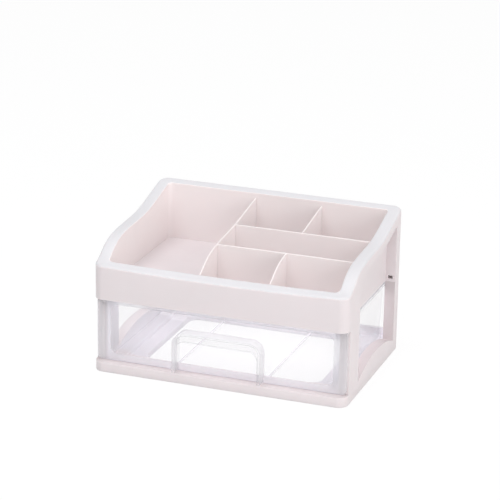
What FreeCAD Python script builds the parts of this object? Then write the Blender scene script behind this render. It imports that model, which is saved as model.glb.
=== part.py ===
import FreeCAD, Part
import math
import os

# Makeup storage box: an open divided tray on a drawer frame with one clear drawer.
# Millimetres. X to the right seen from the front, Y to the back, Z up, floor at Z = 0.
# The origin is under the middle of the whole box, the handle included.

Vec = FreeCAD.Vector

# Overall sizes
WIDTH = 250.0
DEPTH = 172.0
HEIGHT = 144.0
CORNER_R = 9.5
HANDLE_OVERHANG = 5.0

# Top tray
SKIRT_Z = 72.5
TRAY_FLOOR_Z = 84.5
TRAY_FLOOR_T = 2.2
BASIN_WALL = 2.2
BASIN_CORNER_R = 5.0
RIM_SIDE = 12.0
RIM_FRONT = 10.0
RIM_BACK = 10.5
RIM_LIP = 9.5
RIM_EDGE_R = 2.6
RIM_INNER_R = 0.9

# Rim line: drops below the back as shares of the height,
# at distances behind the front face or ahead of the back face
RIM_FRONT_DROP = 0.25833 * HEIGHT
RIM_STEP_DROP = 0.24583 * HEIGHT
RIM_SHOULDER_DROP = 0.18056 * HEIGHT
RIM_LEVEL_FRONT_DROP = 0.12917 * HEIGHT
RIM_LEVEL_BACK_DROP = 0.10833 * HEIGHT
RIM_RISE_DROP = 0.06389 * HEIGHT
RIM_SHOULDER_FROM_FRONT = 26.0
RIM_LEVEL_FROM_FRONT = 56.0
RIM_LEVEL_FROM_BACK = 66.0
RIM_RISE_FROM_BACK = 37.0
FRONT_SAG = 3.0
SAG_RUN = 30.0

# Dividers
DIVIDER_T = 1.4
DIVIDER_BACK_DROP = 6.5
DIVIDER_RISE_DROP = 2.6
DIVIDER_LEVEL_BACK_DROP = 0.9
DIVIDER_LEVEL_FRONT_DROP = 2.6
DIVIDER_FRONT_DROP = 1.5
DIVIDER_TOP_R = 0.6
LONG_DIVIDER_X = -22.0
REAR_CROSS_FROM_BACK = 68.5
FRONT_CROSS_FROM_FRONT = 55.0
REAR_SHORT_X = 45.5
FRONT_SHORT_X = 46.5

# Side frames
SIDE_T = 10.4
FRONT_POST_END = 38.0
REAR_POST_W = 20.0
SILL_END_Z = 12.5
SILL_CREST_Z = 23.5
TONGUE_X = 4.4
TONGUE_Y = 10.0
TONGUE_Z = 9.0
TONGUE_INSET = 5.0
BARB = 0.8
BARB_Z = 3.0
SOCKET_GAP = 0.15

# Base frame
LEDGE_DEPTH = 11.0
LEDGE_Z = 10.0
BASE_T = 6.0
RUNNER_W = 13.0
BASE_OPENING_SIDE = 37.0
BASE_OPENING_FRONT = 36.0
BASE_OPENING_BACK = 9.0
BASE_OPENING_R = 11.0
STOP_RAIL_T = 4.0
STOP_RAIL_Z = 17.0

# Drawer
RUN_GAP = 0.4
DRAWER_SIDE_GAP = 0.8
DRAWER_TOP_GAP = 0.9
STOP_GAP = 1.0
TUB_WALL = 2.0
TUB_FLOOR_T = 2.0
TUB_DRAFT = 2.2
TUB_CORNER_R = 7.0
TUB_LIP_Z = 3.5
TUB_LIP_STEP = 0.7
TUB_RIB_X = 45.0
TUB_RIB_W = 1.6
TUB_RIB_Z = 1.0
FRONT_SETBACK = 7.5
FRONT_PANEL_T = 3.2
FRONT_PANEL_INSET = 1.8
FRONT_PANEL_R = 4.0
PANEL_BORDER = 13.0
PANEL_BORDER_LOW = 7.0
PANEL_BORDER_HIGH = 5.0
PANEL_RECESS = 1.2
PANEL_RECESS_R = 7.0

# Handle
HANDLE_W = 87.0
HANDLE_TOP_Z = 52.0
HANDLE_FOOT_Z = 12.0
HANDLE_R = 12.0
HANDLE_WALL = 2.6
HANDLE_LIP_T = 2.4
HANDLE_LIP_TOP = 8.5
HANDLE_LIP_LEG = 3.4

# Places that follow from the sizes
FRONT_Y = (HANDLE_OVERHANG - DEPTH) / 2
BACK_Y = (HANDLE_OVERHANG + DEPTH) / 2
HALF_W = WIDTH / 2
BASIN_X = HALF_W - RIM_SIDE
BASIN_FRONT_Y = FRONT_Y + RIM_FRONT
BASIN_BACK_Y = BACK_Y - RIM_BACK
POST_FRONT_Y = FRONT_Y + LEDGE_DEPTH
WINDOW_FRONT_Y = FRONT_Y + FRONT_POST_END
WINDOW_BACK_Y = BACK_Y - REAR_POST_W
SIDE_INNER_X = HALF_W - SIDE_T
TONGUE_MID_X = HALF_W - SIDE_T / 2
PANEL_FRONT_Y = FRONT_Y + FRONT_SETBACK
PANEL_BACK_Y = PANEL_FRONT_Y + FRONT_PANEL_T
PANEL_X = HALF_W - FRONT_PANEL_INSET
DRAWER_BOTTOM_Z = LEDGE_Z + RUN_GAP
DRAWER_TOP_Z = SKIRT_Z - DRAWER_TOP_GAP
TUB_X = SIDE_INNER_X - DRAWER_SIDE_GAP
TUB_BACK_Y = BACK_Y - STOP_RAIL_T - STOP_GAP
HANDLE_FRONT_Y = FRONT_Y - HANDLE_OVERHANG
FRONT_CROSS_Y = FRONT_Y + FRONT_CROSS_FROM_FRONT
REAR_CROSS_Y = BACK_Y - REAR_CROSS_FROM_BACK
FAR = 2 * (WIDTH + DEPTH + HEIGHT)


def block(x0, x1, y0, y1, z0, z1):
    """A box between two corners."""
    return Part.makeBox(x1 - x0, y1 - y0, z1 - z0, Vec(x0, y0, z0))


def rounded_wire(x0, x1, y0, y1, z, r):
    """A closed rectangle with round corners, level at z."""
    k = r * (1 - math.sqrt(0.5))
    edges = [
        Part.LineSegment(Vec(x0 + r, y0, z), Vec(x1 - r, y0, z)),
        Part.Arc(Vec(x1 - r, y0, z), Vec(x1 - k, y0 + k, z), Vec(x1, y0 + r, z)),
        Part.LineSegment(Vec(x1, y0 + r, z), Vec(x1, y1 - r, z)),
        Part.Arc(Vec(x1, y1 - r, z), Vec(x1 - k, y1 - k, z), Vec(x1 - r, y1, z)),
        Part.LineSegment(Vec(x1 - r, y1, z), Vec(x0 + r, y1, z)),
        Part.Arc(Vec(x0 + r, y1, z), Vec(x0 + k, y1 - k, z), Vec(x0, y1 - r, z)),
        Part.LineSegment(Vec(x0, y1 - r, z), Vec(x0, y0 + r, z)),
        Part.Arc(Vec(x0, y0 + r, z), Vec(x0 + k, y0 + k, z), Vec(x0 + r, y0, z)),
    ]
    return Part.Wire([edge.toShape() for edge in edges])


def rounded_block(x0, x1, y0, y1, z0, z1, r):
    """A box with round upright edges."""
    return Part.Face(rounded_wire(x0, x1, y0, y1, z0, r)).extrude(Vec(0, 0, z1 - z0))


def mirror_x(shape):
    """The same shape on the other side."""
    return shape.mirror(Vec(0, 0, 0), Vec(1, 0, 0))


def side_line(front, step, shoulder, level_front, level_back, rise, back):
    """A side line in the YZ plane from its drops below the height.

    It is level over the front rim, then climbs to a level run, then rises to the back."""
    points = [
        Vec(0, FRONT_Y, HEIGHT - front),
        Vec(0, FRONT_Y + RIM_FRONT, HEIGHT - step),
        Vec(0, FRONT_Y + RIM_SHOULDER_FROM_FRONT, HEIGHT - shoulder),
        Vec(0, FRONT_Y + RIM_LEVEL_FROM_FRONT, HEIGHT - level_front),
        Vec(0, BACK_Y - RIM_LEVEL_FROM_BACK, HEIGHT - level_back),
        Vec(0, BACK_Y - RIM_RISE_FROM_BACK, HEIGHT - rise),
        Vec(0, BACK_Y, HEIGHT - back),
    ]
    line = Part.BSplineCurve()
    line.interpolate(points)
    return line


def rim_line(drop=0.0):
    """The rim's own line, or one that lies lower by drop."""
    return side_line(RIM_FRONT_DROP + drop, RIM_STEP_DROP + drop, RIM_SHOULDER_DROP + drop,
                     RIM_LEVEL_FRONT_DROP + drop, RIM_LEVEL_BACK_DROP + drop, RIM_RISE_DROP + drop, drop)


def divider_line():
    """The top line of the dividers that run front to back."""
    return side_line(RIM_FRONT_DROP + DIVIDER_FRONT_DROP, RIM_STEP_DROP + DIVIDER_FRONT_DROP,
                     RIM_SHOULDER_DROP + DIVIDER_LEVEL_FRONT_DROP,
                     RIM_LEVEL_FRONT_DROP + DIVIDER_LEVEL_FRONT_DROP,
                     RIM_LEVEL_BACK_DROP + DIVIDER_LEVEL_BACK_DROP,
                     RIM_RISE_DROP + DIVIDER_RISE_DROP, DIVIDER_BACK_DROP)


def line_height(line, y):
    """The height of a side line at a distance y."""
    edge = line.toShape()
    upright = Part.makeLine(Vec(0, y, -FAR), Vec(0, y, FAR))
    return edge.distToShape(upright)[1][0][0].z


def rim_surface():
    """The smooth surface that the rim's top lies in, with the shallow sag along the front."""
    line = rim_line()
    y_steps = 24
    x_steps = 12
    rows = []
    for i in range(y_steps + 1):
        y = FRONT_Y + DEPTH * i / y_steps
        z = line_height(line, y)
        fade = max(0.0, 1 - (y - FRONT_Y) / SAG_RUN) ** 2
        row = []
        for j in range(x_steps + 1):
            across = 2 * j / x_steps - 1
            row.append(Vec(HALF_W * across, y, z - FRONT_SAG * fade * (1 - across ** 2)))
        rows.append(row)
    surface = Part.BSplineSurface()
    surface.interpolate(rows)
    return surface.toShape()


def under_line(line, x0, x1, floor_z):
    """The solid between two X planes, under a side line and over a floor height."""
    edge = line.toShape()
    start = edge.valueAt(edge.FirstParameter)
    end = edge.valueAt(edge.LastParameter)
    low_start = Vec(0, start.y, floor_z)
    low_end = Vec(0, end.y, floor_z)
    wire = Part.Wire([edge, Part.makeLine(end, low_end), Part.makeLine(low_end, low_start),
                      Part.makeLine(low_start, start)])
    solid = Part.Face(wire).extrude(Vec(x1 - x0, 0, 0))
    solid.translate(Vec(x0, 0, 0))
    return solid


def tongue_places():
    """The two post tongues of the right side, as their front Y faces."""
    front = POST_FRONT_Y + TONGUE_INSET
    back = WINDOW_BACK_Y + TONGUE_INSET
    return [front, back]


def tongue(y, gap=0.0):
    """One upright tongue with its barb, or the socket around it."""
    x0 = TONGUE_MID_X - TONGUE_X / 2 - gap
    x1 = TONGUE_MID_X + TONGUE_X / 2 + gap
    stem = block(x0, x1, y - gap, y + TONGUE_Y + gap, SKIRT_Z, SKIRT_Z + TONGUE_Z + gap)
    barb_top = SKIRT_Z + TONGUE_Z - BARB_Z
    barb = block(x0, x1, y - BARB - gap, y, barb_top - BARB_Z - gap, barb_top + gap)
    return stem.fuse(barb).removeSplitter()


def barb_slot(y):
    """The small slot in a leg's inner reveal where the barb shows."""
    barb_top = SKIRT_Z + TONGUE_Z - BARB_Z
    return block(TONGUE_MID_X - TONGUE_X / 2 - SOCKET_GAP, TONGUE_MID_X + TONGUE_X / 2 + SOCKET_GAP,
                 WINDOW_BACK_Y - BARB, y, barb_top - BARB_Z - SOCKET_GAP, barb_top + SOCKET_GAP)


def top_tray():
    """Rim, front band, corner legs and the basin in one moulding."""
    body = rounded_block(-HALF_W, HALF_W, FRONT_Y, BACK_Y, SKIRT_Z, HEIGHT, CORNER_R)
    body = body.cut(rim_surface().extrude(Vec(0, 0, FAR)))
    rim_edges = [e for e in body.Edges if e.BoundBox.ZMin > SKIRT_Z + RIM_LIP
                 and e.BoundBox.DiagonalLength > CORNER_R / 2 and not is_upright(e)]
    body = body.makeFillet(RIM_EDGE_R, rim_edges)
    basin = rounded_block(-BASIN_X, BASIN_X, BASIN_FRONT_Y, BASIN_BACK_Y, TRAY_FLOOR_Z, FAR, BASIN_CORNER_R)
    body = body.cut(basin)
    body = body.makeFillet(RIM_INNER_R, inner_rim_edges(body))
    hollow = rounded_block(-BASIN_X, BASIN_X, BASIN_FRONT_Y, BASIN_BACK_Y,
                           SKIRT_Z, TRAY_FLOOR_Z - TRAY_FLOOR_T, BASIN_CORNER_R)
    body = body.cut(hollow)
    recess = under_line(rim_line(RIM_LIP), BASIN_X + BASIN_WALL, FAR, SKIRT_Z)
    recess = recess.common(block(0, FAR, WINDOW_FRONT_Y, WINDOW_BACK_Y, SKIRT_Z, FAR))
    body = body.cut(recess).cut(mirror_x(recess))
    back_x = HALF_W - REAR_POST_W
    body = body.cut(block(-back_x, back_x, BASIN_BACK_Y + BASIN_WALL, BACK_Y, SKIRT_Z, HEIGHT - RIM_LIP))
    for y in tongue_places():
        socket = tongue(y, SOCKET_GAP)
        body = body.cut(socket).cut(mirror_x(socket))
    slot = barb_slot(tongue_places()[1])
    return body.cut(slot).cut(mirror_x(slot))


def inner_rim_edges(body):
    """The edges where the basin's walls meet the rim's top."""
    edges = []
    for edge in body.Edges:
        middle = edge.valueAt((edge.FirstParameter + edge.LastParameter) / 2)
        inside = abs(middle.x) < BASIN_X + 1e-3 and BASIN_FRONT_Y - 1e-3 < middle.y < BASIN_BACK_Y + 1e-3
        if inside and middle.z > TRAY_FLOOR_Z + RIM_INNER_R and not is_upright(edge):
            edges.append(edge)
    return edges


def is_upright(edge):
    """Whether an edge runs straight up."""
    box = edge.BoundBox
    return max(box.XLength, box.YLength) < 1e-6


def lengthwise_divider(x, y0, y1):
    """A divider that runs front to back, with the side line's form along its top."""
    plate = under_line(divider_line(), x - DIVIDER_T / 2, x + DIVIDER_T / 2, TRAY_FLOOR_Z)
    return round_top(plate.common(block(-HALF_W, HALF_W, y0, y1, TRAY_FLOOR_Z, FAR)))


def round_top(plate):
    """A divider plate with its two long top edges rounded."""
    long_edges = [e for e in plate.Edges if e.BoundBox.ZMin > TRAY_FLOOR_Z + DIVIDER_T
                  and e.Length > 2 * DIVIDER_T]
    return plate.makeFillet(DIVIDER_TOP_R, long_edges)


def cross_divider(y):
    """A level divider from the long divider to the right wall."""
    top = line_height(divider_line(), y)
    return round_top(block(LONG_DIVIDER_X + DIVIDER_T / 2, BASIN_X, y - DIVIDER_T / 2, y + DIVIDER_T / 2,
                           TRAY_FLOOR_Z, top))


def right_side_frame():
    """Front post, rear post and the humped sill between them, with the tongues that hold the tray."""
    crest = Vec(0, (WINDOW_FRONT_Y + WINDOW_BACK_Y) / 2, SILL_CREST_Z)
    sill_front = Vec(0, WINDOW_FRONT_Y, SILL_END_Z)
    sill_back = Vec(0, WINDOW_BACK_Y, SILL_END_Z)
    corners = [sill_front, Vec(0, WINDOW_FRONT_Y, SKIRT_Z), Vec(0, POST_FRONT_Y, SKIRT_Z),
               Vec(0, POST_FRONT_Y, 0), Vec(0, BACK_Y, 0), Vec(0, BACK_Y, SKIRT_Z),
               Vec(0, WINDOW_BACK_Y, SKIRT_Z), sill_back]
    edges = [Part.makeLine(a, b) for a, b in zip(corners, corners[1:])]
    edges.append(Part.Arc(sill_back, crest, sill_front).toShape())
    frame = Part.Face(Part.Wire(edges)).extrude(Vec(SIDE_T, 0, 0))
    frame.translate(Vec(SIDE_INNER_X, 0, 0))
    outline = rounded_block(-HALF_W, HALF_W, FRONT_Y, BACK_Y, 0, SKIRT_Z, CORNER_R)
    frame = frame.common(outline)
    for y in tongue_places():
        frame = frame.fuse(tongue(y))
    return frame.removeSplitter()


def base_frame():
    """Front ledge, open floor, drawer runners and the rear stop rail."""
    outline = rounded_block(-HALF_W, HALF_W, FRONT_Y, BACK_Y, 0, HEIGHT, CORNER_R)
    ledge = block(-HALF_W, HALF_W, FRONT_Y, POST_FRONT_Y, 0, LEDGE_Z).common(outline)
    floor = block(-SIDE_INNER_X, SIDE_INNER_X, POST_FRONT_Y, BACK_Y, 0, BASE_T)
    stop_rail = block(-SIDE_INNER_X, SIDE_INNER_X, BACK_Y - STOP_RAIL_T, BACK_Y, 0, STOP_RAIL_Z)
    runner = block(SIDE_INNER_X - RUNNER_W, SIDE_INNER_X, POST_FRONT_Y, BACK_Y - STOP_RAIL_T, 0, LEDGE_Z)
    frame = ledge.fuse([floor, stop_rail, runner, mirror_x(runner)]).removeSplitter()
    opening_x = HALF_W - BASE_OPENING_SIDE
    opening = rounded_block(-opening_x, opening_x, FRONT_Y + BASE_OPENING_FRONT, BACK_Y - BASE_OPENING_BACK,
                            0, BASE_T, BASE_OPENING_R)
    return frame.cut(opening)


def tub_shell(inset, floor_z, front_y):
    """The drawer tub's tapering form, drawn in by inset, from a floor height up and a front face back."""
    wall_x = TUB_X - TUB_LIP_STEP - inset
    taper = TUB_DRAFT * (DRAWER_TOP_Z - floor_z) / (DRAWER_TOP_Z - DRAWER_BOTTOM_Z)
    radius = TUB_CORNER_R - inset
    low = rounded_wire(taper - wall_x, wall_x - taper, front_y, TUB_BACK_Y - inset - taper, floor_z, radius)
    high = rounded_wire(-wall_x, wall_x, front_y, TUB_BACK_Y - inset, DRAWER_TOP_Z, radius)
    return Part.makeLoft([low, high], True, True)


def drawer_tub():
    """The clear tub, open where the front panel closes it, with a stiff lip and two low floor ribs."""
    ahead_y = PANEL_BACK_Y - 2 * TUB_CORNER_R
    floor_top = DRAWER_BOTTOM_Z + TUB_FLOOR_T
    inner = tub_shell(TUB_WALL, floor_top, ahead_y)
    lip = rounded_block(-TUB_X, TUB_X, ahead_y, TUB_BACK_Y, DRAWER_TOP_Z - TUB_LIP_Z, DRAWER_TOP_Z,
                        TUB_CORNER_R)
    tub = tub_shell(0.0, DRAWER_BOTTOM_Z, ahead_y).fuse(lip).cut(inner)
    tub = tub.common(block(-HALF_W, HALF_W, PANEL_BACK_Y, BACK_Y, 0, HEIGHT))
    for x in (-TUB_RIB_X, TUB_RIB_X):
        rib = block(x - TUB_RIB_W / 2, x + TUB_RIB_W / 2, PANEL_BACK_Y, TUB_BACK_Y - TUB_WALL - TUB_DRAFT / 2,
                    floor_top - TUB_FLOOR_T / 2, floor_top + TUB_RIB_Z)
        tub = tub.fuse(rib)
    return tub.removeSplitter()


def flat_rounded(x, y0, y1, z0, z1, r):
    """An upright plate with round corners seen from the front."""
    plate = rounded_block(-x, x, z0, z1, 0, y1 - y0, r)
    plate.rotate(Vec(0, 0, 0), Vec(1, 0, 0), 90)
    plate.translate(Vec(0, y1, 0))
    return plate


def drawer_front():
    """The clear front panel with its raised border."""
    panel = flat_rounded(PANEL_X, PANEL_FRONT_Y, PANEL_BACK_Y, DRAWER_BOTTOM_Z, DRAWER_TOP_Z, FRONT_PANEL_R)
    recess = flat_rounded(PANEL_X - PANEL_BORDER, PANEL_FRONT_Y, PANEL_FRONT_Y + PANEL_RECESS,
                          DRAWER_BOTTOM_Z + PANEL_BORDER_LOW, DRAWER_TOP_Z - PANEL_BORDER_HIGH, PANEL_RECESS_R)
    return panel.cut(recess)


def arch(side, top, r, y0, y1):
    """An upright arch, open at the foot, drawn in by side at the legs and by top at the bar."""
    x = HANDLE_W / 2 - side
    z1 = HANDLE_TOP_Z - top
    k = r * (1 - math.sqrt(0.5))
    foot_r = Vec(x, y0, HANDLE_FOOT_Z)
    foot_l = Vec(-x, y0, HANDLE_FOOT_Z)
    edges = [
        Part.makeLine(foot_l, Vec(-x, y0, z1 - r)),
        Part.Arc(Vec(-x, y0, z1 - r), Vec(k - x, y0, z1 - k), Vec(r - x, y0, z1)).toShape(),
        Part.makeLine(Vec(r - x, y0, z1), Vec(x - r, y0, z1)),
        Part.Arc(Vec(x - r, y0, z1), Vec(x - k, y0, z1 - k), Vec(x, y0, z1 - r)).toShape(),
        Part.makeLine(Vec(x, y0, z1 - r), foot_r),
        Part.makeLine(foot_r, foot_l),
    ]
    return Part.Face(Part.Wire(edges)).extrude(Vec(0, y1 - y0, 0))


def drawer_handle(front):
    """The clear arch that stands out from the front panel, with the lip that fingers pull on."""
    back_y = PANEL_FRONT_Y + PANEL_RECESS
    hood = arch(0, 0, HANDLE_R, HANDLE_FRONT_Y, back_y)
    hood = hood.cut(arch(HANDLE_WALL, HANDLE_WALL, HANDLE_R - HANDLE_WALL, HANDLE_FRONT_Y, back_y))
    lip = arch(0, 0, HANDLE_R, HANDLE_FRONT_Y, HANDLE_FRONT_Y + HANDLE_LIP_T)
    lip = lip.cut(arch(HANDLE_LIP_LEG, HANDLE_LIP_TOP, HANDLE_R - HANDLE_LIP_LEG,
                       HANDLE_FRONT_Y, HANDLE_FRONT_Y + HANDLE_LIP_T))
    return hood.fuse(lip).cut(front).removeSplitter()


def build():
    """Every piece of the box by its name."""
    front = drawer_front()
    right = right_side_frame()
    return {
        "top_tray": top_tray(),
        "long_divider": lengthwise_divider(LONG_DIVIDER_X, BASIN_FRONT_Y, BASIN_BACK_Y),
        "rear_cross_divider": cross_divider(REAR_CROSS_Y),
        "front_cross_divider": cross_divider(FRONT_CROSS_Y),
        "rear_short_divider": lengthwise_divider(REAR_SHORT_X, REAR_CROSS_Y + DIVIDER_T / 2, BASIN_BACK_Y),
        "front_short_divider": lengthwise_divider(FRONT_SHORT_X, BASIN_FRONT_Y, FRONT_CROSS_Y - DIVIDER_T / 2),
        "right_side_frame": right,
        "left_side_frame": mirror_x(right),
        "base_frame": base_frame(),
        "drawer_tub": drawer_tub(),
        "drawer_front": front,
        "drawer_handle": drawer_handle(front),
    }


def main():
    """Build the box and write one file for each piece."""
    os.makedirs("parts", exist_ok=True)
    for name, shape in build().items():
        shape.exportStep("parts/%s.step" % name)
        box = shape.BoundBox
        print("%-20s solids %d valid %s volume %9.1f  x %.2f..%.2f  y %.2f..%.2f  z %.2f..%.2f" % (
            name, len(shape.Solids), shape.isValid(), shape.Volume,
            box.XMin, box.XMax, box.YMin, box.YMax, box.ZMin, box.ZMax))


main()
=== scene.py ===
"""Looks of the makeup storage box: satin plastic housing, clear drawer, plain studio."""

import logging
import math
from dataclasses import dataclass, field
from enum import Enum
from typing import Callable, Dict, List, Sequence, Tuple

import bpy
from mathutils import Matrix, Vector


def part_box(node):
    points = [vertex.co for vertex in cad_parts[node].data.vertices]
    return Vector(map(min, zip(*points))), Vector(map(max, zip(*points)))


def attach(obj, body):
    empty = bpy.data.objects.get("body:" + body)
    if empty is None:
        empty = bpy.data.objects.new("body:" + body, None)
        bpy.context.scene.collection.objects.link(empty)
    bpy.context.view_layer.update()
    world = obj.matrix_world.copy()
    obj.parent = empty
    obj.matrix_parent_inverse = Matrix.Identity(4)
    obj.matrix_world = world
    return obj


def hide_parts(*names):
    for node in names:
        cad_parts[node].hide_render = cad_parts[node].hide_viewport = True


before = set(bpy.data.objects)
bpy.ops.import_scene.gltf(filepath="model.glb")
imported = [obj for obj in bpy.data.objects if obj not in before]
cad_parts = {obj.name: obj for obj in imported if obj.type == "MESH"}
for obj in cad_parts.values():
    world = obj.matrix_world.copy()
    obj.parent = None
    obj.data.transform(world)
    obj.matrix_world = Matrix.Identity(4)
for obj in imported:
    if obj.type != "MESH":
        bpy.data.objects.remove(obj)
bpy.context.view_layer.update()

LOG = logging.getLogger("makeup_box")
MM = 0.001
MERGE_M = 2e-6
DISSOLVE_DEG = 0.6
ROUND_FROM_DEG = 35.0
SMOOTH_DEG = 32.0
# Shares of a face's normal along an axis, from nearly all of it to hardly any.
FLAT, LEVEL, FACING, RISING, SLANT = 0.97, 0.9, 0.5, 0.3, 0.15
# The grey range that noise textures mostly keep to.
GREY_LOW, GREY_HIGH = 0.3, 0.7
Colour = Tuple[float, float, float]
# From a face's centre and normal to the number of its finish.
FaceRule = Callable[[Vector, Vector], int]
# Upright stripes of painted light and shade in the clear border, standing for bent light: share of the way
# outward, then brightness.
PAINTED_REFRACTION_BANDS = ((0.0, 0.05), (0.38, 0.12), (0.46, 0.75), (0.58, 0.75), (0.66, 0.5), (0.80, 0.55), (0.84, 0.9),
                (0.88, 0.55), (0.96, 0.6), (1.0, 0.95))


class Body(Enum):
    """The rigid bodies that pieces ride on."""

    HOUSING = "housing"
    DRAWER = "drawer"


class Slot(Enum):
    """The record's material slots, passed along with the new pieces."""

    BODY = "body_plastic"
    CLEAR = "clear_plastic"


def add_node(tree: bpy.types.NodeTree, kind: str, **values: object) -> bpy.types.Node:
    """Add a shader node and set its plain properties.

    Args:
        tree: The node tree that gets the node.
        kind: Blender's name of the node type.
        values: Properties of the node by name.

    Returns:
        The new node.
    """
    node = tree.nodes.new(kind)
    for name, value in values.items():
        setattr(node, name, value)
    return node


def new_tree(name: str) -> Tuple[bpy.types.Material, bpy.types.NodeTree, bpy.types.Node]:
    """Make an empty node material with a Principled shader on its output.

    Args:
        name: The material's name.

    Returns:
        The material, its node tree and its Principled shader.
    """
    material = bpy.data.materials.new(name)
    material.use_nodes = True
    tree = material.node_tree
    tree.nodes.clear()
    output = add_node(tree, "ShaderNodeOutputMaterial")
    shader = add_node(tree, "ShaderNodeBsdfPrincipled")
    tree.links.new(shader.outputs["BSDF"], output.inputs["Surface"])
    return material, tree, shader


def noise(tree: bpy.types.NodeTree, scale: float, detail: float) -> bpy.types.Node:
    """Add a noise texture that reads Object coordinates.

    Args:
        tree: The node tree that gets the nodes.
        scale: Noise cells per metre.
        detail: Octaves of finer noise.

    Returns:
        The noise node.
    """
    place = add_node(tree, "ShaderNodeTexCoord")
    texture = add_node(tree, "ShaderNodeTexNoise")
    texture.inputs["Scale"].default_value = scale
    texture.inputs["Detail"].default_value = detail
    tree.links.new(place.outputs["Object"], texture.inputs["Vector"])
    return texture


def spread(tree: bpy.types.NodeTree, texture: bpy.types.Node, low: float, high: float) -> bpy.types.NodeSocket:
    """Map a texture's grey value onto a range.

    Args:
        tree: The node tree that gets the node.
        texture: The noise node to read.
        low: Value at GREY_LOW.
        high: Value at GREY_HIGH.

    Returns:
        The socket with the mapped value.
    """
    remap = add_node(tree, "ShaderNodeMapRange")
    remap.inputs["From Min"].default_value = GREY_LOW
    remap.inputs["From Max"].default_value = GREY_HIGH
    remap.inputs["To Min"].default_value = low
    remap.inputs["To Max"].default_value = high
    tree.links.new(texture.outputs["Fac"], remap.inputs["Value"])
    return remap.outputs["Result"]


def blend_to_output(tree: bpy.types.NodeTree, share: bpy.types.NodeSocket, first: bpy.types.NodeSocket,
                    second: bpy.types.NodeSocket) -> None:
    """Send a blend of two shaders to the material's output.

    Args:
        tree: The node tree that gets the blend.
        share: The second shader's share.
        first: The first shader.
        second: The second shader.
    """
    blend = add_node(tree, "ShaderNodeMixShader")
    output = next(n for n in tree.nodes if n.type == "OUTPUT_MATERIAL")
    tree.links.new(share, blend.inputs["Fac"])
    tree.links.new(first, blend.inputs[1])
    tree.links.new(second, blend.inputs[2])
    tree.links.new(blend.outputs["Shader"], output.inputs["Surface"])


def tint_by(tree: bpy.types.NodeTree, shader: bpy.types.Node, share: bpy.types.NodeSocket, dark: Colour,
            light: Colour) -> None:
    """Colour a shader between two tones.

    Args:
        tree: The node tree that gets the mix.
        shader: The Principled shader to colour.
        share: The light tone's share.
        dark: The dark tone.
        light: The light tone.
    """
    mix = add_node(tree, "ShaderNodeMix", data_type="RGBA")
    mix.inputs["A"].default_value = (*dark, 1.0)
    mix.inputs["B"].default_value = (*light, 1.0)
    tree.links.new(share, mix.inputs["Factor"])
    tree.links.new(mix.outputs["Result"], shader.inputs["Base Color"])


def roughen(tree: bpy.types.NodeTree, shader: bpy.types.Node, texture: bpy.types.Node, strength: float,
            height: float) -> None:
    """Give a shader a bump from a texture.

    Args:
        tree: The node tree that gets the bump.
        shader: The Principled shader to roughen.
        texture: The noise node that gives the height.
        strength: The bump's strength.
        height: The bump's height, in metres.
    """
    bump = add_node(tree, "ShaderNodeBump")
    bump.inputs["Strength"].default_value = strength
    bump.inputs["Distance"].default_value = height
    tree.links.new(texture.outputs["Fac"], bump.inputs["Height"])
    tree.links.new(bump.outputs["Normal"], shader.inputs["Normal"])


@dataclass(frozen=True)
class SatinPlastic:
    """Pale moulded plastic with a fine satin grain and faint flow clouds."""

    name: str
    light: Colour
    dark: Colour
    rough: Tuple[float, float] = (0.38, 0.50)
    grain_per_m: float = 2400.0
    grain_height_m: float = 0.00002
    grain_strength: float = 0.35
    cloud_per_m: float = 22.0
    specular: float = 0.4
    glow: float = 0.12
    glow_reach_m: Colour = (0.004, 0.003, 0.003)

    def make(self) -> bpy.types.Material:
        """Build the node material.

        Returns:
            The material.
        """
        material, tree, shader = new_tree(self.name)
        clouds = noise(tree, self.cloud_per_m, 3.0)
        tint_by(tree, shader, spread(tree, clouds, 0.0, 1.0), self.dark, self.light)
        wear = noise(tree, self.cloud_per_m * 6, 4.0)
        tree.links.new(spread(tree, wear, *self.rough), shader.inputs["Roughness"])
        roughen(tree, shader, noise(tree, self.grain_per_m, 2.0), self.grain_strength, self.grain_height_m)
        shader.inputs["Specular IOR Level"].default_value = self.specular
        shader.inputs["Subsurface Weight"].default_value = self.glow
        shader.inputs["Subsurface Radius"].default_value = self.glow_reach_m
        shader.inputs["Subsurface Scale"].default_value = 1.0
        return material


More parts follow.
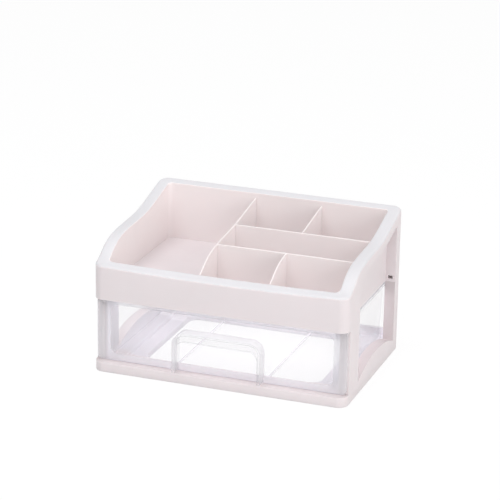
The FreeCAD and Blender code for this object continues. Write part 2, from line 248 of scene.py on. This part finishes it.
@dataclass(frozen=True)
class ClearPlastic:
    """Polished clear plastic: each face dims what lies behind it and adds a veil that grows at a slant."""

    name: str
    tint: Colour
    deep_tint: Colour
    passing: Colour
    veil: Tuple[float, float]
    rough: Tuple[float, float] = (0.04, 0.10)
    wave_per_m: float = 30.0
    wave_height_m: float = 0.00004
    wave_strength: float = 0.2
    slant_blend: float = 0.35
    ior: float = 1.55
    band_span: Tuple[float, float] = (0.0, 1.0)
    bands: Tuple[Tuple[float, float], ...] = ()

    def band_level(self, tree: bpy.types.NodeTree) -> bpy.types.NodeSocket:
        """Paint the upright stripes of light and shade that bent light draws, by distance from the middle plane.

        Args:
            tree: The node tree that gets the nodes.

        Returns:
            The socket with the band's brightness, 0 to 1.
        """
        place = add_node(tree, "ShaderNodeTexCoord")
        split = add_node(tree, "ShaderNodeSeparateXYZ")
        tree.links.new(place.outputs["Object"], split.inputs["Vector"])
        aside = add_node(tree, "ShaderNodeMath", operation="ABSOLUTE")
        tree.links.new(split.outputs["X"], aside.inputs[0])
        share = add_node(tree, "ShaderNodeMapRange")
        share.inputs["From Min"].default_value = self.band_span[0]
        share.inputs["From Max"].default_value = self.band_span[1]
        tree.links.new(aside.outputs[0], share.inputs["Value"])
        ramp = add_node(tree, "ShaderNodeValToRGB")
        stops = ramp.color_ramp.elements
        for stop, (at, level) in zip((stops[0], stops[1]), (self.bands[0], self.bands[-1])):
            stop.position = at
            stop.color = (level, level, level, 1.0)
        for at, level in self.bands[1:-1]:
            stops.new(at).color = (level, level, level, 1.0)
        tree.links.new(share.outputs["Result"], ramp.inputs["Fac"])
        return ramp.outputs["Color"]

    def make(self) -> bpy.types.Material:
        """Build the node material.

        Returns:
            The material.
        """
        material, tree, shader = new_tree(self.name)
        waves = noise(tree, self.wave_per_m, 2.0)
        level = self.band_level(tree) if self.bands else spread(tree, waves, 0.0, 1.0)
        tint_by(tree, shader, level, self.deep_tint, self.tint)
        marks = noise(tree, self.wave_per_m * 9, 5.0)
        tree.links.new(spread(tree, marks, *self.rough), shader.inputs["Roughness"])
        roughen(tree, shader, waves, self.wave_strength, self.wave_height_m)
        slant = add_node(tree, "ShaderNodeLayerWeight")
        slant.inputs["Blend"].default_value = self.slant_blend
        veil = add_node(tree, "ShaderNodeMapRange")
        veil.inputs["To Min"].default_value = self.veil[0]
        veil.inputs["To Max"].default_value = self.veil[1]
        tree.links.new(slant.outputs["Facing"], veil.inputs["Value"])
        shader.inputs["IOR"].default_value = self.ior
        through = add_node(tree, "ShaderNodeBsdfTransparent")
        through.inputs["Color"].default_value = (*self.passing, 1.0)
        blend_to_output(tree, veil.outputs["Result"], through.outputs["BSDF"], shader.outputs["BSDF"])
        return material


@dataclass(frozen=True)
class FloorPaint:
    """Plain white studio floor with the faintest mottle."""

    name: str = "studio_floor_white"
    light: Colour = (0.66, 0.66, 0.66)
    dark: Colour = (0.64, 0.64, 0.64)
    white_share: float = 0.88
    white_level: float = 1.05
    mottle_per_m: float = 3.0
    rough: float = 0.9
    specular: float = 0.1

    def make(self) -> bpy.types.Material:
        """Build the node material: white to the eye and to clear plastic, with the shadow kept.

        Returns:
            The material.
        """
        material, tree, shader = new_tree(self.name)
        clouds = noise(tree, self.mottle_per_m, 2.0)
        tint_by(tree, shader, spread(tree, clouds, 0.0, 1.0), self.dark, self.light)
        shader.inputs["Roughness"].default_value = self.rough
        shader.inputs["Specular IOR Level"].default_value = self.specular
        white = add_node(tree, "ShaderNodeEmission")
        white.inputs["Strength"].default_value = self.white_level
        rays = add_node(tree, "ShaderNodeLightPath")
        seen = rays.outputs["Is Camera Ray"]
        for other in ("Is Glossy Ray", "Is Transmission Ray"):
            either = add_node(tree, "ShaderNodeMath", operation="MAXIMUM")
            tree.links.new(seen, either.inputs[0])
            tree.links.new(rays.outputs[other], either.inputs[1])
            seen = either.outputs[0]
        share = add_node(tree, "ShaderNodeMath", operation="MULTIPLY")
        share.inputs[1].default_value = self.white_share
        tree.links.new(seen, share.inputs[0])
        blend_to_output(tree, share.outputs[0], shader.outputs["BSDF"], white.outputs["Emission"])
        return material


@dataclass(frozen=True)
class Palette:
    """Every finish of the box, made once."""

    body: bpy.types.Material
    painted_rim_shade_and_sheen: bpy.types.Material
    inner: bpy.types.Material
    floor: bpy.types.Material
    inside: bpy.types.Material
    reveal: bpy.types.Material
    runner_painted_shade: bpy.types.Material
    wall: bpy.types.Material
    border: bpy.types.Material
    hood: bpy.types.Material
    painted_shade_arch: bpy.types.Material
    lip: bpy.types.Material
    edge: bpy.types.Material
    line: bpy.types.Material

    @classmethod
    def make(cls) -> "Palette":
        """Make the satin finishes of the housing and the clear finishes of the drawer.

        Returns:
            The palette.
        """
        satin = {
            "body": ((0.785, 0.72, 0.73), (0.77, 0.705, 0.715)),
            # Upward faces round the tray's top: a darker, cooler copy of the body colour, painted shade with a
            # painted cool sheen of the overhead lamp.
            "painted_rim_shade_and_sheen": ((0.69, 0.675, 0.695), (0.675, 0.66, 0.68)),
            # Walls within the tray and the dividers: a lighter copy of the body colour, painted light.
            "inner": ((0.855, 0.785, 0.78), (0.84, 0.77, 0.765)),
            # Floor within the tray: a darker copy of the body colour, painted shade.
            "floor": ((0.72, 0.66, 0.67), (0.705, 0.645, 0.655)),
            # Faces round the drawer: a lighter, cooler copy of the body colour, painted light.
            "inside": ((0.88, 0.855, 0.89), (0.865, 0.84, 0.875)),
            # Ledge top, the windows' rear ends and the right sill's top: a darker copy of the body colour, painted
            # shade.
            "reveal": ((0.60, 0.54, 0.545), (0.585, 0.525, 0.53)),
            # Strip that the drawer slides on: darker than the faces round it, painted shade.
            "runner_painted_shade": ((0.75, 0.725, 0.765), (0.735, 0.71, 0.75)),
        }
        clear = {
            "wall": ((0.90, 0.89, 0.92), (0.87, 0.86, 0.89), (0.984, 0.984, 0.984), (0.03, 0.18)),
            # Recess edges of the front panel: a greyer, denser veil, painted shade stripes.
            "hood": ((0.85, 0.84, 0.865), (0.81, 0.80, 0.83), (0.95, 0.95, 0.955), (0.14, 0.46)),
            # Outside of the handle's hood: a grey, dense veil, painted shade.
            "painted_shade_arch": ((0.73, 0.725, 0.74), (0.70, 0.695, 0.71), (0.93, 0.93, 0.935), (0.34, 0.58)),
            "lip": ((0.95, 0.945, 0.96), (0.93, 0.925, 0.94), (0.988, 0.988, 0.988), (0.02, 0.10)),
            # Rounded outer edges, the lip top and the tub's rolled edges: a whiter, denser veil, painted
            # highlight, partly the plastic's thickness seen edge-on.
            "edge": ((0.97, 0.965, 0.98), (0.94, 0.935, 0.96), (0.93, 0.93, 0.94), (0.42, 0.72)),
            # Ribs, the lip's sides, a band below the lip and the handle's outer edges: a grey, dense veil, painted
            # shade stripes.
            "line": ((0.74, 0.73, 0.755), (0.70, 0.69, 0.715), (0.88, 0.88, 0.885), (0.45, 0.70)),
        }
        made = {name: SatinPlastic(f"satin_blush_{name}", *tones).make() for name, tones in satin.items()}
        made.update({name: ClearPlastic(f"clear_{name}", *tones).make() for name, tones in clear.items()})
        # The border's upright stripes are painted light and shade that bent light draws.
        border = ClearPlastic("clear_border", (0.96, 0.95, 0.965), (0.82, 0.805, 0.85), (0.95, 0.945, 0.955),
                              (0.42, 0.62), band_span=(0.1102, 0.1232), bands=PAINTED_REFRACTION_BANDS)
        return cls(border=border.make(), **made)


def dress_node(name: str, material: bpy.types.Material) -> None:
    """Give a CAD node one material in all its slots.

    Args:
        name: The node's name.
        material: The finish that it gets.
    """
    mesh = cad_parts[name].data
    mesh.materials.clear()
    mesh.materials.append(material)
    LOG.info("dressed %s with %s", name, material.name)


def activate(piece: bpy.types.Object) -> None:
    """Make a piece the only selected and active object.

    Args:
        piece: The piece to work on.
    """
    bpy.ops.object.select_all(action="DESELECT")
    piece.select_set(True)
    bpy.context.view_layer.objects.active = piece


def softened(node: str, name: str, radius: float, steps: int = 3) -> bpy.types.Object:
    """Model a moulding on a CAD node's form with its sharp edges rounded.

    Args:
        node: The CAD node whose form is taken.
        name: The new piece's name.
        radius: How far the rounding reaches from each sharp edge, in metres, or 0 for none.
        steps: Faces across each rounded edge.

    Returns:
        The new piece.
    """
    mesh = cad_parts[node].data.copy()
    mesh.name = name
    piece = bpy.data.objects.new(name, mesh)
    bpy.context.scene.collection.objects.link(piece)
    activate(piece)
    bpy.ops.mesh.customdata_custom_splitnormals_clear()
    bpy.ops.object.mode_set(mode="EDIT")
    bpy.ops.mesh.select_all(action="SELECT")
    bpy.ops.mesh.remove_doubles(threshold=MERGE_M)
    bpy.ops.mesh.dissolve_limited(angle_limit=math.radians(DISSOLVE_DEG))
    bpy.ops.mesh.select_all(action="SELECT")
    bpy.ops.mesh.vert_connect_concave()
    bpy.ops.object.mode_set(mode="OBJECT")
    if radius > 0:
        rounding = piece.modifiers.new("edge_rounding", "BEVEL")
        rounding.width = radius
        rounding.segments = steps
        rounding.limit_method = "ANGLE"
        rounding.angle_limit = math.radians(ROUND_FROM_DEG)
        bpy.ops.object.modifier_apply(modifier=rounding.name)
    low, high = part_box(node)  # The rounding must not leave the CAD piece's box.
    for vertex in piece.data.vertices:
        vertex.co = [min(max(v, a), b) for v, a, b in zip(vertex.co, low, high)]
    bpy.ops.object.shade_smooth_by_angle(angle=math.radians(SMOOTH_DEG))
    return piece


def cut_edges(piece: bpy.types.Object, place: Sequence[float], normal: Sequence[float]) -> None:
    """Cut edges all round a piece along a plane, so that the faces on its two sides can differ in finish.

    Args:
        piece: The piece to cut.
        place: A point of the plane, in metres.
        normal: The plane's normal.
    """
    activate(piece)
    bpy.ops.object.mode_set(mode="EDIT")
    bpy.ops.mesh.select_all(action="SELECT")
    bpy.ops.mesh.bisect(plane_co=place, plane_no=normal)
    bpy.ops.object.mode_set(mode="OBJECT")


def paint(piece: bpy.types.Object, finishes: Sequence[bpy.types.Material], rule: FaceRule) -> None:
    """Give each face of a piece one of several finishes.

    Args:
        piece: The piece to dress.
        finishes: The finishes, in slot order.
        rule: Picks a slot from a face's centre and normal.
    """
    mesh = piece.data
    mesh.materials.clear()
    for finish in finishes:
        mesh.materials.append(finish)
    for face in mesh.polygons:
        face.material_index = rule(face.center, face.normal)


def clean(piece: bpy.types.Object) -> None:
    """Take faces without area out of a piece, as rounding and cutting leave a few.

    Args:
        piece: The piece to clean.
    """
    activate(piece)
    bpy.ops.object.mode_set(mode="EDIT")
    bpy.ops.mesh.select_all(action="SELECT")
    bpy.ops.mesh.dissolve_degenerate(threshold=MERGE_M)
    bpy.ops.object.mode_set(mode="OBJECT")


def settle(piece: bpy.types.Object, node: str, body: Body, slot: Slot) -> None:
    """Let a piece stand for its node and ride on its body.

    Args:
        piece: The finished piece.
        node: The CAD node that it stands for.
        body: The rigid body that it moves with.
        slot: The record's material slot; not used.
    """
    clean(piece)
    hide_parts(node)
    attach(piece, body.value)
    LOG.info("piece %s stands for %s on %s", piece.name, node, body.value)


def is_edge_face(normal: Vector) -> bool:
    """Whether a face belongs to a rounded edge, by a normal off all three axes.

    Args:
        normal: The face's normal.

    Returns:
        True for a face of a rounded edge.
    """
    return max(abs(normal.x), abs(normal.y), abs(normal.z)) < FLAT


@dataclass
class Studio:
    """Floor, soft light and the camera at the photograph's viewing angle."""

    floor_half: float = 4.0
    pivot: Tuple[float, float, float] = (0.0, 0.0025, 0.060)
    yaw_deg: float = 19.6098
    pitch_deg: float = 19.0270
    roll_deg: float = 0.9861
    aside: Tuple[float, float] = (0.000668, 0.046946)
    distance: float = 2.14256
    focal_px: float = 2245.23
    image_px: float = 500.0
    sensor_mm: float = 36.0
    world_level: float = 0.56
    key_watts: float = 22.0
    fill_watts: float = 19.5
    under_tray_watts: float = 0.20

    def build(self) -> None:
        """Make the whole studio."""
        self.floor()
        self.world()
        self.lamps()
        self.camera()

    def floor(self) -> None:
        """Lay the floor plane at the height that the box stands on."""
        bpy.ops.object.select_all(action="DESELECT")
        bpy.ops.mesh.primitive_plane_add(size=2 * self.floor_half, location=(0, 0, 0))
        plane = bpy.context.object
        plane.name = "studio_floor"
        plane.data.materials.append(FloorPaint().make())

    def world(self) -> None:
        """Light everything evenly with a white sky."""
        world = bpy.data.worlds.new("studio_sky")
        bpy.context.scene.world = world
        world.use_nodes = True
        background = world.node_tree.nodes["Background"]
        background.inputs["Color"].default_value = (1.0, 1.0, 1.0, 1.0)
        background.inputs["Strength"].default_value = self.world_level

    def lamp(self, name: str, place: Sequence[float], size: Tuple[float, float], watts: float,
             tone: Colour) -> bpy.types.Object:
        """Hang one soft lamp that looks at the box.

        Args:
            name: The lamp's name.
            place: Where it hangs, in metres.
            size: Its width and height, in metres.
            watts: Its power.
            tone: Its colour.

        Returns:
            The lamp.
        """
        data = bpy.data.lights.new(name, "AREA")
        data.shape = "RECTANGLE"
        data.size, data.size_y = size
        data.energy = watts
        data.color = tone
        lamp = bpy.data.objects.new(name, data)
        bpy.context.scene.collection.objects.link(lamp)
        lamp.location = place
        aim = Vector((0.0, 0.0, 0.07)) - Vector(place)
        lamp.rotation_euler = aim.to_track_quat("-Z", "Y").to_euler()
        return lamp

    def lamps(self) -> None:
        """Hang the overhead lamp, the fill at the right front and the light that the drawer gathers."""
        self.lamp("overhead_lamp", (-0.15, -0.65, 1.7), (1.6, 1.6), self.key_watts, (0.96, 0.98, 1.0))
        self.lamp("right_fill", (2.0, -0.9, 0.8), (1.4, 1.4), self.fill_watts, (1.0, 0.985, 0.98))
        glow = self.lamp("under_tray_glow", (0.0, 0.004, 0.079), (0.22, 0.138), self.under_tray_watts,
                         (0.98, 0.96, 1.0))
        glow.rotation_euler = (0.0, 0.0, 0.0)
        glow.visible_camera = False
        glow.visible_glossy = False

    def camera(self) -> None:
        """Set up the camera from its angles and distance."""
        yaw, pitch, roll = (math.radians(a) for a in (self.yaw_deg, self.pitch_deg, self.roll_deg))
        back = Vector((math.sin(yaw) * math.cos(pitch), -math.cos(yaw) * math.cos(pitch), math.sin(pitch)))
        right = Vector((math.cos(yaw), math.sin(yaw), 0.0))
        up = back.cross(right)
        turned_right = right * math.cos(roll) + up * math.sin(roll)
        turned_up = up * math.cos(roll) - right * math.sin(roll)
        place = Vector(self.pivot) + back * self.distance
        place += turned_right * self.aside[0] + turned_up * self.aside[1]
        data = bpy.data.cameras.new("photo_camera")
        data.sensor_width = self.sensor_mm
        data.lens = self.focal_px / self.image_px * self.sensor_mm
        camera = bpy.data.objects.new("photo_camera", data)
        bpy.context.scene.collection.objects.link(camera)
        basis = Matrix((turned_right, turned_up, back)).transposed().to_4x4()
        camera.matrix_world = Matrix.Translation(place) @ basis
        bpy.context.scene.camera = camera


@dataclass
class Housing:
    """The fixed mouldings: tray, dividers, side frames and base."""

    edge_radius: float = 0.6 * MM
    rim_side: float = 12.0 * MM
    rim_front: float = 10.0 * MM
    rim_back: float = 10.5 * MM
    front_y: float = -83.5 * MM
    ledge_back_y: float = -72.0 * MM
    strip_back_y: float = -46.0 * MM
    runner_back_y: float = 55.0 * MM
    rail_back_y: float = 88.0 * MM
    side_inner: float = 114.5 * MM
    sill_low_z: float = 11.0 * MM
    sill_high_z: float = 24.0 * MM
    tray_floor_z: float = 84.5 * MM
    slack: float = 0.3 * MM
    soft_nodes: Dict[str, str] = field(default_factory=lambda: {
        "right_side_frame": "right_side_moulding",
        "left_side_frame": "left_side_moulding",
        "base_frame": "base_moulding",
    })
    divider_nodes: List[str] = field(default_factory=lambda: [
        "long_divider", "rear_cross_divider", "front_cross_divider", "rear_short_divider",
        "front_short_divider"])

    def build(self, finish: Palette) -> None:
        """Dress the dividers, and model the tray, the side frames and the base.

        Args:
            finish: The finishes to use.
        """
        self.tray([finish.body, finish.painted_rim_shade_and_sheen, finish.inner, finish.floor])
        for name in self.divider_nodes:
            # The dividers take the lighter copy of the body colour as painted light.
            dress_node(name, finish.inner)
        for node, name in self.soft_nodes.items():
            piece = softened(node, name, self.edge_radius)
            for place in (self.ledge_back_y, self.strip_back_y, self.runner_back_y):
                cut_edges(piece, (0.0, place, 0.0), (0.0, 1.0, 0.0))
            paint(piece, [finish.body, finish.inside, finish.reveal, finish.runner_painted_shade], self.inside_rule)
            settle(piece, node, Body.HOUSING, Slot.BODY)

    def inside_rule(self, centre: Vector, normal: Vector) -> int:
        """Pick inside, a lighter copy of the body colour painted as light, around the drawer, and darker copies
        painted as shade for the ledge, the windows' rear ends, the right sill and the strip that the drawer slides
        on.

        The hidden lamp and the fill lamp light these darker faces more than the photograph shows them.

        Args:
            centre: The face's centre.
            normal: The face's normal.

        Returns:
            The slot: 0 body, 1 inside (painted light), 2 reveal, 3 runner_painted_shade.
        """
        aside = abs(centre.x) > self.side_inner
        # Painted shade on the windows' rear ends.
        if aside and normal.y < -FACING and centre.y > 0.0:
            return 2
        # Painted shade on the ledge top.
        if centre.y < self.ledge_back_y and normal.z > RISING and centre.z < self.sill_low_z:
            return 2
        # Painted shade on the right sill's top.
        if aside and normal.z > RISING:
            return 2 if centre.x > 0.0 and self.sill_low_z < centre.z < self.sill_high_z else 0
        if aside:
            # Painted light on faces that look in at the drawer.
            return 1 if normal.x * centre.x < 0 and abs(normal.x) > FACING else 0
        if normal.z < -FACING or not self.strip_back_y < centre.y < self.rail_back_y:
            return 0
        # Painted shade on the strip that the drawer slides on, painted light behind it.
        return 3 if centre.y < self.runner_back_y else 1

    def tray(self, finishes: Sequence[bpy.types.Material]) -> None:
        """Model the tray, with copies of its colour as painted light and shade: darker and cooler on the upward
        faces round the top, for painted shade and a painted sheen of the overhead lamp, lighter on the walls
        within and darker on the floor within.

        Args:
            finishes: The finishes of the body, the upward faces round the top, the walls within and the floor
                within.
        """
        low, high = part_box("top_tray")
        left, right = low[0] + self.rim_side - self.slack, high[0] - self.rim_side + self.slack
        front, back = self.front_y + self.rim_front - self.slack, high[1] - self.rim_back + self.slack

        def rule(centre: Vector, normal: Vector) -> int:
            """Pick body, painted top shade and sheen, painted light on a wall within or painted shade on the floor
            within, for a face of the tray.
            """
            inside = left < centre.x < right and front < centre.y < back
            above = centre.z > self.tray_floor_z + self.slack
            # Painted light on the walls within.
            if inside and above:
                return 2
            # Painted shade on the floor within.
            if inside and normal.z > LEVEL:
                return 3
            # Painted shade and a painted cool sheen on the upward faces round the top.
            return 1 if normal.z > FACING and above else 0

        piece = softened("top_tray", "tray_moulding", 0.0)
        paint(piece, finishes, rule)
        settle(piece, "top_tray", Body.HOUSING, Slot.BODY)


@dataclass
class Drawer:
    """The clear drawer: tub, front panel and handle, each with thin walls, and painted highlight and painted shade
    stripes along their edges.
    """

    panel_edge: float = 0.7 * MM
    handle_edge: float = 1.0 * MM
    tub_edge: float = 0.4 * MM
    border_side: float = 13.0 * MM
    border_low: float = 7.0 * MM
    border_high: float = 5.0 * MM
    handle_turn: float = 12.0 * MM
    tub_floor: float = 2.0 * MM
    tub_lip: float = 3.5 * MM
    rib_height: float = 1.2 * MM
    rib_reach: float = 60.0 * MM
    lip_line: Tuple[float, float] = (5.4 * MM, 6.4 * MM)
    slack: float = 0.1 * MM

    def build(self, finish: Palette) -> None:
        """Model the three clear pieces.

        Args:
            finish: The finishes to use.
        """
        self.front_panel([finish.wall, finish.border, finish.edge, finish.hood])
        self.handle([finish.lip, finish.painted_shade_arch, finish.line])
        self.tub([finish.wall, finish.edge, finish.line])

    def front_panel(self, finishes: Sequence[bpy.types.Material]) -> None:
        """Model the panel: clear in its recess, thicker to the eye along its border, where upright stripes of
        painted light and shade stand for bent light.

        Args:
            finishes: The finishes of the recess, the border with its painted stripes, the outer edges with painted
                highlight and the recess edges with painted shade.
        """
        low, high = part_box("drawer_front")
        left, right = low[0] + self.border_side, high[0] - self.border_side
        bottom, top = low[2] + self.border_low, high[2] - self.border_high
        slack = self.panel_edge

        def rule(centre: Vector, normal: Vector) -> int:
            """Pick wall, border, outer edge or recess edge for a face of the panel."""
            inside = left - slack < centre.x < right + slack and bottom - slack < centre.z < top + slack
            # Rounded edges: painted shade stripes on the recess edges, painted highlight on the outer edges,
            # painted stripes of light and shade on the border.
            if is_edge_face(normal):
                return 3 if inside else 2
            return 0 if inside else 1

        piece = softened("drawer_front", "drawer_front_clear", self.panel_edge)
        paint(piece, finishes, rule)
        settle(piece, "drawer_front", Body.DRAWER, Slot.CLEAR)

    def handle(self, finishes: Sequence[bpy.types.Material]) -> None:
        """Model the handle's bow that fingers pull on: a clear lip, and a hood in painted grey shade with painted
        shade stripes along its outer edges.

        Args:
            finishes: The finishes of the flat faces, the painted shade on the hood's outside and the painted shade
                stripes on its edges.
        """
        turn_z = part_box("drawer_handle")[1][2] - self.handle_turn

        def rule(centre: Vector, normal: Vector) -> int:
            """Pick clear flat face, painted shade on the hood or a painted shade stripe on an edge, for a face of
            the handle.
            """
            if abs(normal.y) > FLAT:
                return 0
            outward = normal.x * centre.x > 0 if centre.z < turn_z else normal.z > 0
            # Painted shade stripes on the outer slanted edges, painted grey shade on the hood.
            if abs(normal.y) > SLANT:
                return 2 if outward else 1
            return 1 if outward else 0

        piece = softened("drawer_handle", "drawer_handle_clear", self.handle_edge)
        paint(piece, finishes, rule)
        settle(piece, "drawer_handle", Body.DRAWER, Slot.CLEAR)

    def tub(self, finishes: Sequence[bpy.types.Material]) -> None:
        """Model the tub: clear walls, a painted highlight on the lip and rolled edges, and grey painted shade
        stripes on the ribs and the lip that show against a white floor.

        Args:
            finishes: The finishes of the walls, the painted highlight on the rolled edges, and the painted shade
                on the ribs and the lip's lines.
        """
        low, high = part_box("drawer_tub")
        floor_top = low[2] + self.tub_floor
        lip_z = high[2] - self.tub_lip
        line_top, line_low = (high[2] - drop for drop in self.lip_line)

        def rule(centre: Vector, normal: Vector) -> int:
            """Pick wall, painted highlight on a rolled edge, or painted shade stripe for a face of the tub."""
            rib = floor_top + self.slack < centre.z < floor_top + self.rib_height
            # Painted shade stripes on the ribs.
            if rib and abs(centre.x) < self.rib_reach:
                return 2
            # Painted highlight on the lip's top, painted shade stripes on its sides.
            if centre.z > lip_z - 2 * self.slack:
                return 2 if abs(normal.z) < SLANT else 1
            # Painted shade stripe below the lip.
            if line_low < centre.z < line_top:
                return 2
            # Painted highlight on the rolled edges.
            return 1 if SLANT < abs(normal.z) < FLAT else 0

        piece = softened("drawer_tub", "drawer_tub_clear", self.tub_edge)
        for level in (line_top, line_low):
            cut_edges(piece, (0.0, 0.0, level), (0.0, 0.0, 1.0))
        paint(piece, finishes, rule)
        settle(piece, "drawer_tub", Body.DRAWER, Slot.CLEAR)


def main() -> None:
    """Build the box's looks and the studio."""
    logging.basicConfig(level=logging.INFO)
    bpy.context.scene.view_settings.view_transform = "Standard"
    palette = Palette.make()
    Housing().build(palette)
    Drawer().build(palette)
    Studio().build()


if __name__ == "__main__":
    main()
